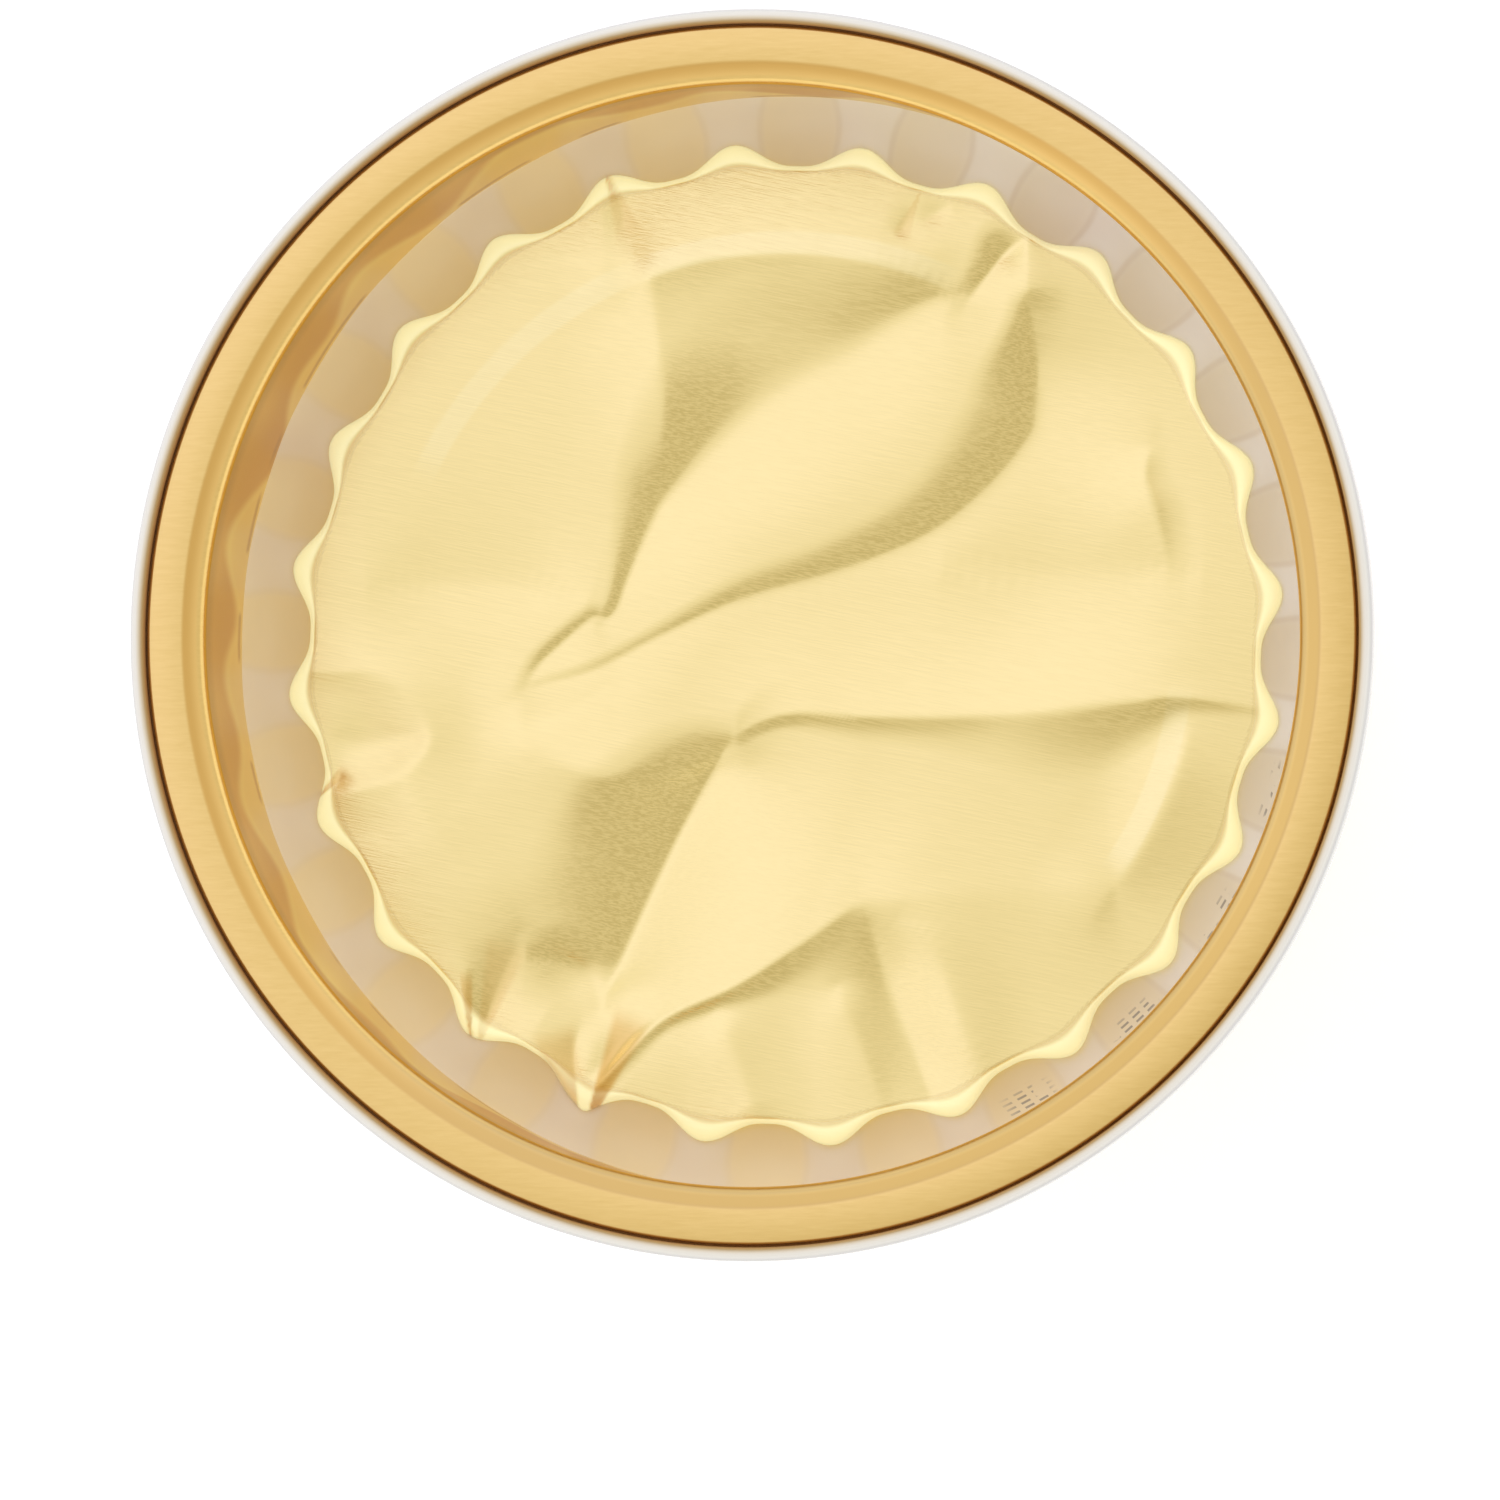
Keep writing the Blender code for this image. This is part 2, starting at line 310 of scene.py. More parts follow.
def spun(profile, steps, closed=False):
    """Spin a profile of (radius, height) pairs in millimetres, and return the bmesh with its normals outwards."""
    shape = bmesh.new()
    knots = [shape.verts.new((radius * MM, 0, height * MM)) for radius, height in profile]
    pairs = list(zip(knots, knots[1:])) + ([(knots[-1], knots[0])] if closed else [])
    edges = [shape.edges.new(pair) for pair in pairs]
    bmesh.ops.spin(shape, geom=knots + edges, cent=(0, 0, 0), axis=(0, 0, 1), angle=2 * math.pi,
                   steps=steps, use_merge=True, use_duplicate=False)
    bmesh.ops.remove_doubles(shape, verts=shape.verts, dist=0.000002)
    bmesh.ops.recalc_face_normals(shape, faces=shape.faces)
    return shape


def piece(name, shape, finishes, node, sharp=40.0):
    """Turn a bmesh into an object that rides on the pot and stands for a CAD node."""
    mesh = bpy.data.meshes.new(name)
    shape.to_mesh(mesh)
    shape.free()
    mesh.shade_smooth()
    mesh.set_sharp_from_angle(angle=math.radians(sharp))
    for made in finishes:
        mesh.materials.append(made)
    made = bpy.data.objects.new(name, mesh)
    bpy.context.collection.objects.link(made)
    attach(made, "root")
    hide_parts(node)
    print(f"{name}: {len(mesh.polygons)} faces")
    return made


print(f"turned pieces get {SPIN_STEPS} sides")

# %% [markdown]
# ## The white pot
# The real pot is a thin moulded cup with a rolled rim. From the camera only the rim shows: a glossy bead, with
# painted grey shade where it turns away at the outside and a painted tan reflection where it mirrors the ring. The
# side has a collar and a stacking ledge, a long taper and a rounded foot. A closed pot can't be seen into, so its
# profile runs from the floor of the recess over the rim to the foot, as one skin.

# %% Turn the white pot
GAP = 0.2  # between one piece and the next
RIM_INNER_R = 48.40
RING_TOP_Z = 94.1
RING_SHEET = 0.6
LIP_R = 43.65
LIP_Z = 92.3
SLEEVE_FOOT_R = 44.5
SLEEVE_SHEET = 0.5
SLOPE_R = 45.4
RECESS_FLOOR_Z = 69.5
COLLAR_FOOT_Z = 82.0
FOOT_R = 38.7
FOOT_CORNER = 1.5
CROWN = 0.75  # height of the rim's rounded top

rim_mid = (RIM_R + RIM_INNER_R) / 2
rim_half = (RIM_R - RIM_INNER_R) / 2
crown_z = TOP - CROWN
shoulder_z = RING_TOP_Z - RING_SHEET - GAP
pot_profile = [
    # The recess and the shoulder under the ring.
    (0, RECESS_FLOOR_Z),
    (SLEEVE_FOOT_R + SLEEVE_SHEET + GAP, RECESS_FLOOR_Z),
    (LIP_R + SLEEVE_SHEET + GAP, LIP_Z - 0.1),
    (SLOPE_R - 0.1, shoulder_z),
    (RIM_INNER_R, shoulder_z),
    # The rolled rim.
    *arc((rim_mid, crown_z), (rim_half, CROWN), 180, 0, 16),
    (RIM_R, crown_z - 1.7),
    *arc((RIM_R - 0.4, crown_z - 1.9), (0.4, 0.5), 0, -90, 6),
    # The collar and its ledge.
    (48.5, crown_z - 2.45),
    (48.2, crown_z - 2.7),
    (48.0, crown_z - 3.3),
    (47.85, COLLAR_FOOT_Z + 0.9),
    (47.75, COLLAR_FOOT_Z + 0.3),
    (47.45, COLLAR_FOOT_Z),
    (47.25, COLLAR_FOOT_Z - 0.5),
    # The taper and the foot.
    (FOOT_R + FOOT_CORNER + 0.3, FOOT_CORNER + 1.2),
    *arc((FOOT_R, FOOT_CORNER), (FOOT_CORNER, FOOT_CORNER), 0, -90, 8),
    (34.0, 0),
    (32.5, 1.5),
    (0, 1.5),
]
print(f"pot profile of {len(pot_profile)} points, rim {RIM_R - RIM_INNER_R:.1f} mm wide")

# %% White pot finish
WALL_WHITES = (opaque(0.83, 0.83, 0.815), opaque(0.87, 0.87, 0.86))
# Painted light on the rim's top by radius: painted shade in the crease, a painted tan reflection where it mirrors
# the ring, and painted grey shade where it turns away.
RIM_PAINTED_LIGHT = [(48.30, (0.48, 0.19, 0.03)), (48.44, (0.40, 0.23, 0.09)), (48.60, (0.52, 0.39, 0.21)),
             (48.80, (0.76, 0.69, 0.55)), (49.00, (0.85, 0.83, 0.76)), (49.24, (0.82, 0.82, 0.79)),
             (49.46, (0.58, 0.59, 0.61))]
white, shader, place = finish("white_gloss", {"Coat Roughness": 0.08})
mottle = place.node("ShaderNodeTexNoise", {"Vector": place, "Scale": 60.0, "Detail": 3.0})
wall = mottle.mix(*WALL_WHITES)
inner_r, outer_r = RIM_PAINTED_LIGHT[0][0], RIM_PAINTED_LIGHT[-1][0]
across_rim = (off_axis(place) - inner_r) * (1 / (outer_r - inner_r))
rim_painted_light = across_rim.node("ShaderNodeValToRGB", {"Fac": across_rim},
                           {"stops": [((r - inner_r) / (outer_r - inner_r), tone) for r, tone in RIM_PAINTED_LIGHT]})
on_top = along(place, (0, 0, 1)).rise(crown_z - 1.6, crown_z - 1.0)
# The rim's top takes its painted shade and painted reflection, and the side keeps its mottled white.
feed(shader, "Base Color", on_top.mix(wall, rim_painted_light))
in_crease = on_top * (1 - off_axis(place).rise(RIM_INNER_R - 0.05, RIM_INNER_R + 0.1))
feed(shader, "Roughness", 0.16 + 0.08 * mottle + 0.6 * in_crease)
feed(shader, "Coat Weight", 0.3 - 0.3 * in_crease)
piece("white_pot", spun(pot_profile, SPIN_STEPS), [white], "pot_body")

# %% [markdown]
# ## The gold ring
# A pressed ring of gold-lacquered metal: a flat annulus, a slope, a bright rounded lip, and a sleeve that goes
# down to the film. The grain of the rolled sheet runs straight over all of it. The slope has a painted highlight by
# the lip and painted shade further out, with deeper painted shade at the lower right, where the lip is painted
# darker too. The sleeve mirrors the pleats at its foot as soft hills of light, brown above and tan below. A mirror
# alone would need every pleat exactly right, so the hills are painted reflections, a slow noise in the finish, over
# painted brown shade that is darkest under the lip and in the tucks beside the film.

# %% Turn the gold ring
LIP_TOP_Z = 93.6
under_z = RING_TOP_Z - RING_SHEET
ring_profile = [
    *arc((RIM_INNER_R - GAP - 0.25, RING_TOP_Z - 0.25), (0.25, 0.25), 90, 0, 4),
    (RIM_INNER_R - GAP, under_z),
    (SLOPE_R - 0.2, under_z),
    (LIP_R + SLEEVE_SHEET + 0.15, LIP_Z + 0.4),
    (LIP_R + SLEEVE_SHEET, LIP_Z - 0.1),
    (SLEEVE_FOOT_R + SLEEVE_SHEET, RECESS_FLOOR_Z + GAP),
    (SLEEVE_FOOT_R, RECESS_FLOOR_Z + GAP),
    (LIP_R, LIP_Z),
    *arc((LIP_R + 0.85, LIP_TOP_Z - 0.75), (0.85, 0.75), 180, 110, 12),
    (SLOPE_R - 0.25, RING_TOP_Z - 0.1),
    (SLOPE_R - 0.05, RING_TOP_Z - 0.03),
    (SLOPE_R + 0.15, RING_TOP_Z),
]
print(f"ring profile of {len(ring_profile)} points, {RING_TOP_Z - RECESS_FLOOR_Z - GAP:.1f} mm deep")

# %% Gold ring finish
RING_GRAIN_TURN = math.radians(12)
RING_GRAIN_SQUEEZE = (0.12, 1.0, 1.0)
RING_GRAIN_SCALE = 5000.0
RING_GOLDS = (opaque(0.84, 0.59, 0.20), opaque(0.95, 0.70, 0.275))
# Painted light on the slope: a painted highlight by the lip, painted shade further out, and painted shade on the slope
# and the lip at the lower right.
SLOPE_HIGHLIGHT_TO_SHADE = (opaque(0.98, 0.68, 0.25), opaque(0.83, 0.53, 0.165))
SLOPE_SHADE = opaque(0.70, 0.48, 0.17)
LIP_SHADE = opaque(0.64, 0.46, 0.19)
# Painted brown shade on the sleeve, darkest under the lip and in the tucks, and painted tan reflections of the pleats.
SLEEVE_SHADE = opaque(0.74, 0.44, 0.105)
HILL_REFLECTIONS = (opaque(0.95, 0.74, 0.28), opaque(1.0, 0.84, 0.36))
UNDER_LIP_SHADE = opaque(0.60, 0.34, 0.07)
TUCK_SHADE = opaque(0.50, 0.26, 0.06)
LIP_END = (LIP_R + 0.4, LIP_R + 0.85)  # where the lip's roundness runs out into the slope
HILL_SCALE = 95.0
HILL_BASE_Z = 57
HILL_SWING = 52
TUCK_SCALE = 170.0
# Heights where the painted shade of the tucks beside the film fades in and out.
TUCK_Z = (73.4, 73.8, 74.4, 75.6)  # where the tucks beside the film fade in and out

gold, shader, place = finish("ring_gold", {"Metallic": 1.0, "Roughness": 0.3})
rolled = place.node("ShaderNodeMapping", {"Vector": place, "Rotation": (0, 0, RING_GRAIN_TURN),
                                          "Scale": RING_GRAIN_SQUEEZE})
grain = rolled.node("ShaderNodeTexNoise", {"Vector": rolled, "Scale": RING_GRAIN_SCALE, "Detail": 2.0})
sheet = grain.mix(*RING_GOLDS)
radius, height = off_axis(place), along(place, (0, 0, 1))
on_slope = radius.rise(*LIP_END) * (1 - radius.rise(SLOPE_R - 0.15, SLOPE_R + 0.15))
# Painted shade on the slope and the lip, growing towards the lower right.
lower_right_shade = along(place, (0.71, -0.71, 0)).rise(-12, 18)
# The slope runs from a painted highlight by the lip to painted shade further out.
slope_light = radius.rise(LIP_R + 0.5, LIP_R + 1.5).mix(*SLOPE_HIGHLIGHT_TO_SHADE)
sheet = on_slope.mix(sheet, lower_right_shade.mix(slope_light, SLOPE_SHADE))
on_lip = 1 - radius.rise(*LIP_END)
sheet = (on_lip * lower_right_shade).mix(sheet, LIP_SHADE)

around = place.node("ShaderNodeVectorMath", {0: place, 1: (1, 1, 0)}, {"operation": "MULTIPLY"})
swell = around.node("ShaderNodeTexNoise", {"Vector": around, "Scale": HILL_SCALE, "Detail": 0.0})
over_hill = height - (HILL_BASE_Z + HILL_SWING * swell)
# Hills of painted tan reflection of the pleats, over the sleeve's painted brown shade.
reflected_hill = 1 - over_hill.rise(-3.0, 2.5)
reflected_hill_edge = over_hill.rise(-4.0, 0.0) * reflected_hill
sleeve = reflected_hill.mix(SLEEVE_SHADE, reflected_hill_edge.mix(*HILL_REFLECTIONS))
# Painted shade under the lip.
sleeve = height.rise(LIP_Z - 4.0, LIP_Z).mix(sleeve, UNDER_LIP_SHADE)
# Painted shade in the tucks beside the film.
tuck_shade = around.node("ShaderNodeTexNoise", {"Vector": around, "Scale": TUCK_SCALE, "Detail": 0.0}).rise(0.5, 0.58)
in_tuck_shade = 0.6 * tuck_shade * height.rise(*TUCK_Z[:2]) * (1 - height.rise(*TUCK_Z[2:]))
sleeve = in_tuck_shade.mix(sleeve, TUCK_SHADE)
feed(shader, "Base Color", height.rise(LIP_TOP_Z - 0.6, LIP_TOP_Z - 0.25).mix(sleeve, sheet))
feed(shader, "Roughness", 0.27 + 0.08 * grain)
piece("gold_lip_ring", spun(ring_profile, SPIN_STEPS, closed=True), [gold], "gold_ring")

# %% [markdown]
# ## The foil's shape
# A real foil seal is pressed flat, fluted at its edge and then dented in use. A fine grid is pulled onto a disc,
# its edge is drawn in to the flutes, and each fold is laid in as a crease: a line with a height, falling off at
# its own rate to each side. A cloth simulation would fold it wherever it likes, and sculpting can't be read as
# code. Two tables of folds, large and small, describe the whole crumpled sheet instead.

# %% Folds of the foil
# One row a point: x, y, height, how far the fold reaches to the left and to the right of its own direction, and
# how round its line is. All in millimetres, valleys below zero.
BIG_FOLDS = {
    "upper_valley": [(15.4, 28.2, -0.1, 4, 4, 0.3), (12.1, 27.7, -0.3, 8, 4, 0.3), (9.1, 26.1, -0.4, 10, 5, 0.8),
                     (5.7, 23.8, -0.55, 12, 7, 1.2), (0.5, 21.2, -0.65, 12, 9, 1.3), (-4.7, 17.3, -0.75, 11, 8, 1.2),
                     (-8.6, 13.2, -0.65, 9, 5.5, 0.7), (-10.9, 9.5, -0.5, 9, 3, 0.4),
                     (-12.7, 5.4, -0.3, 9, 1.4, 0.2), (-13.5, 3.2, -0.22, 9, 1.1, 0.15),
                     (-14.4, 2.2, -0.2, 8, 1.1, 0.15), (-15.6, 2.2, -0.16, 7, 1.1, 0.15),
                     (-18.4, -0.1, -0.2, 7, 1.1, 0.15), (-20.0, -1.7, -0.15, 6, 1.1, 0.15),
                     (-21.5, -4.2, 0, 4, 1, 0.15)],
    "triangle_side": [(-10.8, 30.4, 0.3, 6, 7, 0.2), (-10.2, 26, 0.4, 8, 8, 0.3), (-9.7, 21, 0.4, 8, 8, 0.4),
                      (-9.7, 16, 0.28, 6, 8, 0.4), (-10.6, 12, 0.0, 4, 7, 0.4)],
    "triangle_top": [(-11.2, 29.6, 0.25, 8, 4, 0.15), (-6.9, 31.1, 0.45, 9, 6, 0.2), (-2.1, 31.6, 0.55, 9.5, 7, 0.2),
                     (3.6, 31.4, 0.5, 10, 7, 0.2), (9.3, 30.4, 0.4, 8, 6, 0.2), (14.4, 28.0, 0.1, 4, 3, 0.2)],
    "tongue_foot": [(20.0, 28.5, -0.05, 8, 1.6, 0.2), (20.1, 27.0, -0.3, 18, 1.8, 0.2),
                    (20.4, 25.1, -0.54, 28, 3.3, 0.3), (20.8, 22.0, -0.9, 32, 5.5, 0.5),
                    (20.8, 19.4, -1.0, 32, 6.3, 0.6), (20.2, 16.8, -0.96, 30, 6.0, 0.6),
                    (16.5, 12.4, -0.78, 22, 4.9, 0.6), (11.6, 8.7, -0.62, 18, 3.8, 0.5),
                    (4.6, 5.9, -0.44, 16, 2.8, 0.4), (-3.4, 3.6, -0.28, 12, 1.9, 0.3),
                    (-10.0, 0.7, -0.14, 8, 1.1, 0.15), (-15.4, -2.0, -0.1, 6, 0.9, 0.15),
                    (-19.7, -3.2, -0.05, 6, 0.9, 0.15)],
    "right_crest": [(40.2, -5.6, 0.05, 1, 3, 0.1), (36.1, -4.9, 0.15, 1.2, 4, 0.1), (31.7, -4.4, 0.36, 1.8, 7, 0.2),
                    (29.0, -4.7, 0.55, 4, 10, 0.3), (25.0, -5.1, 0.7, 6, 10, 0.5), (20.7, -5.6, 0.66, 6, 10, 0.5),
                    (16.0, -5.8, 0.48, 3.6, 10, 0.35), (11.2, -5.9, 0.4, 2.4, 10, 0.3),
                    (5.3, -5.8, 0.35, 1.8, 9, 0.2), (1.3, -5.6, 0.3, 1.3, 9, 0.15), (-1.3, -6.1, 0.2, 1.1, 8, 0.12),
                    (-3.7, -7.3, 0.1, 1, 6, 0.12), (-4.9, -8.7, 0, 1, 4, 0.12)],
    "left_valley": [(-3.7, -7.3, -0.1, 8, 1.6, 0.15), (-5.1, -9.0, -0.6, 11, 4, 0.25),
                    (-6.3, -10.9, -1.1, 12, 8, 0.3), (-8.7, -15.5, -1.6, 13, 11, 0.35),
                    (-11.1, -20.6, -1.6, 13, 11, 0.35), (-13.3, -25.6, -1.2, 11, 9, 0.3),
                    (-14.6, -28.5, -0.5, 6, 5, 0.3)],
    "bulge_edge": [(-5.1, -9.0, 0.1, 2, 6, 0.3), (-7.3, -9.5, 0.22, 4, 8, 0.5), (-10.6, -10.1, 0.38, 5, 10, 0.7),
                   (-13.5, -10.7, 0.55, 6, 10, 0.6), (-16.8, -10.1, 0.55, 6, 10, 0.5),
                   (-19.4, -8.7, 0.45, 6, 9, 0.5), (-21.1, -7.1, 0.32, 5, 7, 0.5), (-21.6, -4.4, 0.1, 4, 4, 0.5)],
    "lower_crest": [(27.0, -20.0, 0.1, 14, 16, 0.8), (24.0, -20.2, 0.42, 30, 24, 0.8),
                    (17.4, -20.4, 0.56, 30, 24, 0.8), (11.7, -20.6, 0.65, 22, 22, 0.7),
                    (6.9, -21.1, 0.65, 11, 16, 0.4), (5.3, -21.6, 0.6, 8, 13, 0.2),
                    (1.3, -24.4, 0.5, 4, 13, 0.15), (-3.7, -27.6, 0.4, 1.8, 10, 0.12),
                    (-9.5, -30.2, 0.3, 1.1, 6, 0.12), (-12.9, -33.3, 0.25, 1.2, 1.6, 0.12),
                    (-15.1, -35.8, 0.2, 1.2, 1.2, 0.12), (-16.2, -38.2, 0.1, 1.2, 1.2, 0.12)],
}
SMALL_FOLDS = {
    "strip_valley": [(6.8, -22.0, -0.1, 3, 3, 0.2), (8.2, -26.3, -0.45, 7, 5, 0.3), (9.6, -30.7, -0.6, 8, 7, 0.3),
                     (11.1, -34.2, -0.6, 8, 7, 0.2), (12.9, -38.6, -0.4, 4, 4, 0.15)],
    "strip_ridge": [(9.4, -22.3, 0.1, 4, 4, 0.4), (12.6, -24.9, 0.35, 6, 6, 0.6), (14.9, -31.3, 0.4, 6, 6, 0.6),
                    (16.8, -36.0, 0.1, 4, 4, 0.5)],
    "foot_ridge": [(4.5, -27.5, 0.05, 4, 4, 0.5), (5.3, -29.8, 0.3, 5, 6, 0.4), (6.8, -33.6, 0.35, 5, 6, 0.3),
                   (8.4, -37.6, 0.15, 4, 4, 0.3)],
    "low_ridge": [(-5.6, -29.6, 0.05, 4, 4, 0.5), (-4.3, -31.8, 0.3, 5, 6, 0.5), (-2.4, -37.0, 0.3, 5, 6, 0.4)],
    "left_rise": [(-34.0, 5.0, -0.05, 14, 9, 0.8), (-28.0, 5.3, -0.32, 20, 11, 0.8), (-21.0, 5.1, -0.32, 20, 11, 0.8),
                  (-16.0, 3.6, -0.05, 9, 7, 0.6)],
    "right_rise": [(13.0, 6.2, -0.05, 10, 12, 0.8), (20.7, 5.6, -0.35, 16, 18, 0.8), (28.0, 5.6, -0.35, 16, 18, 0.8),
                   (34.0, 5.4, -0.1, 10, 12, 0.8)],
    "pocket_rim": [(-39.9, -1.9, 0.08, 3, 2, 0.15), (-36.2, -2.1, 0.14, 6, 2.2, 0.15), (-34.0, -2.1, 0.2, 6, 4, 0.3),
                   (-30.6, -3.9, 0.25, 5, 5, 0.4), (-28.8, -7.2, 0.25, 4, 4, 0.4), (-30.6, -10.1, 0.25, 5, 3, 0.4),
                   (-34.0, -11.5, 0.2, 4, 3, 0.3), (-37.6, -12.0, 0.1, 3, 2, 0.15)],
    "pocket_valley": [(-37.4, -7.4, -0.1, 4, 4, 0.4), (-34.4, -7.8, -0.28, 7, 6, 0.4), (-30.4, -7.8, -0.18, 5, 5, 0.4)],
    "left_ledge": [(-31.0, -10.4, 0.1, 8, 8, 0.3), (-29.0, -14.0, 0.35, 12, 14, 0.3),
                   (-26.4, -17.6, 0.35, 12, 14, 0.3), (-23.6, -20.6, 0.3, 10, 12, 0.3), (-21.5, -23.4, 0.1, 6, 8, 0.3)],
    "side_pinch": [(-36.6, -9.3, -0.03, 1.5, 1.5, 0.2), (-36.4, -10.8, -0.1, 1.8, 2.2, 0.2),
                   (-37.8, -12.2, -0.05, 1.5, 1.6, 0.2)],
    "corner_pinch": [(-25.2, -33.4, -0.3, 2.5, 5, 0.1), (-24.2, -30.3, -0.4, 4, 6, 0.15),
                     (-22.9, -27.2, -0.35, 6, 8, 0.3), (-21.3, -23.8, -0.1, 5, 6, 0.4)],
    "corner_ridge": [(-25.9, -32.6, 0.15, 2, 1.6, 0.1), (-25.9, -29.5, 0.2, 3, 2, 0.15),
                     (-26.0, -26.5, 0.1, 3, 2, 0.2)],
    "lobe_valley": [(-21.0, -25.2, -0.1, 3, 7, 0.3), (-18.1, -25.5, -0.5, 3, 9, 0.3), (-16.2, -26.6, -0.6, 3, 8, 0.25),
                    (-14.8, -28.8, -0.3, 2, 4, 0.2)],
    "pinch_left": [(-16.4, -38.6, -0.05, 3, 1.5, 0.2), (-16.9, -35.5, -0.16, 3.4, 1.6, 0.2),
                   (-17.1, -33.0, -0.2, 4, 1.8, 0.2), (-16.6, -30.8, -0.08, 4, 1.8, 0.2)],
    "pinch_right": [(-16.0, -38.6, -0.05, 1.5, 1.5, 0.2), (-14.9, -35.5, -0.14, 2, 1.8, 0.2),
                    (-13.8, -33.4, -0.2, 2.8, 2, 0.2), (-12.3, -31.4, -0.2, 3, 2, 0.2),
                    (-10.3, -30.0, -0.08, 3, 2, 0.2)],
    "crest_pinch": [(-14.9, 39.4, -0.05, 3, 1.6, 0.1), (-13.4, 36.3, -0.16, 5, 3, 0.12),
                    (-12.9, 34.1, -0.18, 6, 3.4, 0.15), (-12.1, 31.6, -0.1, 6, 3, 0.2),
                    (-12.4, 29.6, -0.02, 5, 2, 0.2)],
    "crest_cone": [(-15.0, 38.8, 0.1, 2, 4, 0.2), (-14.8, 35.5, 0.15, 3, 8, 0.4), (-14.6, 31.5, 0.1, 3, 8, 0.4)],
    "tent_fold": [(15.0, 27.6, -0.1, 1.6, 5, 0.15), (17.0, 30.2, -0.4, 2, 6, 0.15), (18.3, 31.7, -0.55, 3.4, 6, 0.15),
                  (20.0, 32.7, -0.1, 2, 3, 0.2)],
    "tent_side": [(19.8, 32.0, 0.2, 3, 6, 0.15), (19.9, 29.5, 0.25, 4, 7, 0.15), (20.0, 26.5, 0.1, 3, 5, 0.15)],
    "top_dent": [(13.8, 35.5, -0.03, 3, 1.5, 0.15), (12.6, 34.9, -0.12, 3, 2.4, 0.15), (11.2, 34.0, -0.03, 3, 2, 0.15)],
    "top_crease": [(9.3, 32.8, -0.03, 1.5, 3, 0.15), (9.9, 33.8, -0.12, 1.8, 4, 0.15),
                   (10.6, 35.6, -0.03, 1.5, 3, 0.15)],
    "band_dent": [(29.7, 15.8, 0.05, 1.5, 5, 0.12), (29.4, 13.3, 0.32, 2.2, 10, 0.12),
                  (30.2, 10.8, 0.36, 2.6, 12, 0.12), (31.3, 6.4, 0.08, 2, 6, 0.12)],
    "lower_right_rise": [(34.5, -20.1, 0.05, 10, 14, 0.8), (29.5, -27.2, 0.4, 12, 20, 0.8),
                         (21.0, -34.2, 0.45, 12, 20, 0.8), (13.0, -38.0, 0.38, 10, 16, 0.8),
                         (3.0, -40.0, 0.35, 10, 13, 0.8), (-8.0, -39.4, 0.05, 8, 10, 0.8)],
    "outer_slope": [(33.2, -6.8, 0.1, 4, 4, 0.3), (32.0, -11.0, 0.38, 9, 6, 0.4), (29.3, -16.5, 0.38, 9, 6, 0.4),
                    (25.5, -21.8, 0.2, 7, 6, 0.4)],
}
print(f"{len(BIG_FOLDS)} large folds and {len(SMALL_FOLDS)} small ones")

# %% Lay a fold into the sheet
LINE_STEPS = 6
LINE_PULL = -6.0  # the power of the distance by which the nearest stretch of a line counts most


def blend(value, low, high):
    """Rise smoothly from 0 at low to 1 at high."""
    t = np.clip((value - low) / (high - low), 0, 1)
    return t * t * (3 - 2 * t)


def smooth_rows(rows):
    """A Catmull-Rom curve through the rows, in all their values at once."""
    knots = np.array([rows[0], *rows, rows[-1]], float)
    line = []
    for i in range(1, len(knots) - 2):
        before, start, end, after = knots[i - 1:i + 3]
        for t in np.arange(LINE_STEPS) / LINE_STEPS:
            line.append(0.5 * (2 * start + (end - before) * t + (2 * before - 5 * start + 4 * end - after) * t ** 2
                               + (3 * start - before - 3 * end + after) * t ** 3))
    return np.array([*line, knots[-1]])


def fold_height(x, y, rows):
    """The height that one fold adds at each place: its values come from the line's nearest stretch."""
    line = smooth_rows(rows)
    reach = line[:, 3:5].max() + 1
    near = ((x > line[:, 0].min() - reach) & (x < line[:, 0].max() + reach)
            & (y > line[:, 1].min() - reach) & (y < line[:, 1].max() + reach))
    places = np.stack([x[near], y[near]])
    nearest = np.full(places.shape[1], np.inf)
    total = np.zeros(places.shape[1])
    sums = np.zeros((5, places.shape[1]))
    for start, end in zip(line[:-1], line[1:]):
        run = end[:2] - start[:2]
        length = np.hypot(*run)
        away = places - start[:2, None]
        t = np.clip(run @ away / length ** 2, 0, 1)
        away = away - run[:, None] * t
        distance = np.hypot(*away)
        side = (run[0] * away[1] - run[1] * away[0]) / (length * np.maximum(distance, 1e-6))
        weight = (distance + 0.05) ** LINE_PULL
        total += weight
        sums += weight * np.vstack([start[2:, None] + (end - start)[2:, None] * t, side])
        nearest = np.minimum(nearest, distance)
    height, left, right, round_, side = sums / total
    reach = right + (left - right) * blend(side, -0.7, 0.7)
    distance = np.hypot(nearest, round_) - round_
    added = np.zeros(x.shape)
    added[near] = height * np.clip(1 - distance / reach, 0, 1) ** 2
    return added


print(f"each stretch of a fold is drawn in {LINE_STEPS} steps")

# %% The foil's outline and height
FLUTES = 24
FLUTE_PHASE = math.radians(5.7)
CREST_R = 40.65
VALLEY_R = 38.75
RIM_INSET = 0.55
RIM_SWING = 0.3
RIM_DROP = 0.35
GATHER_AT = math.radians(246.8)
GATHER_WIDTH = math.radians(1.2)
GATHER_REACH = 0.5
# How much of a ridge and of a valley is lost at the turned-down edge. The valleys lose most, to stay over the film.
RIDGE_LOSS = 0.1
VALLEY_LOSS = 0.7


def flute(angle):
    """1 on a crest, 0 in a valley; crests are narrow."""
    return ((1 + np.cos(FLUTES * (angle - FLUTE_PHASE))) / 2) ** 1.5


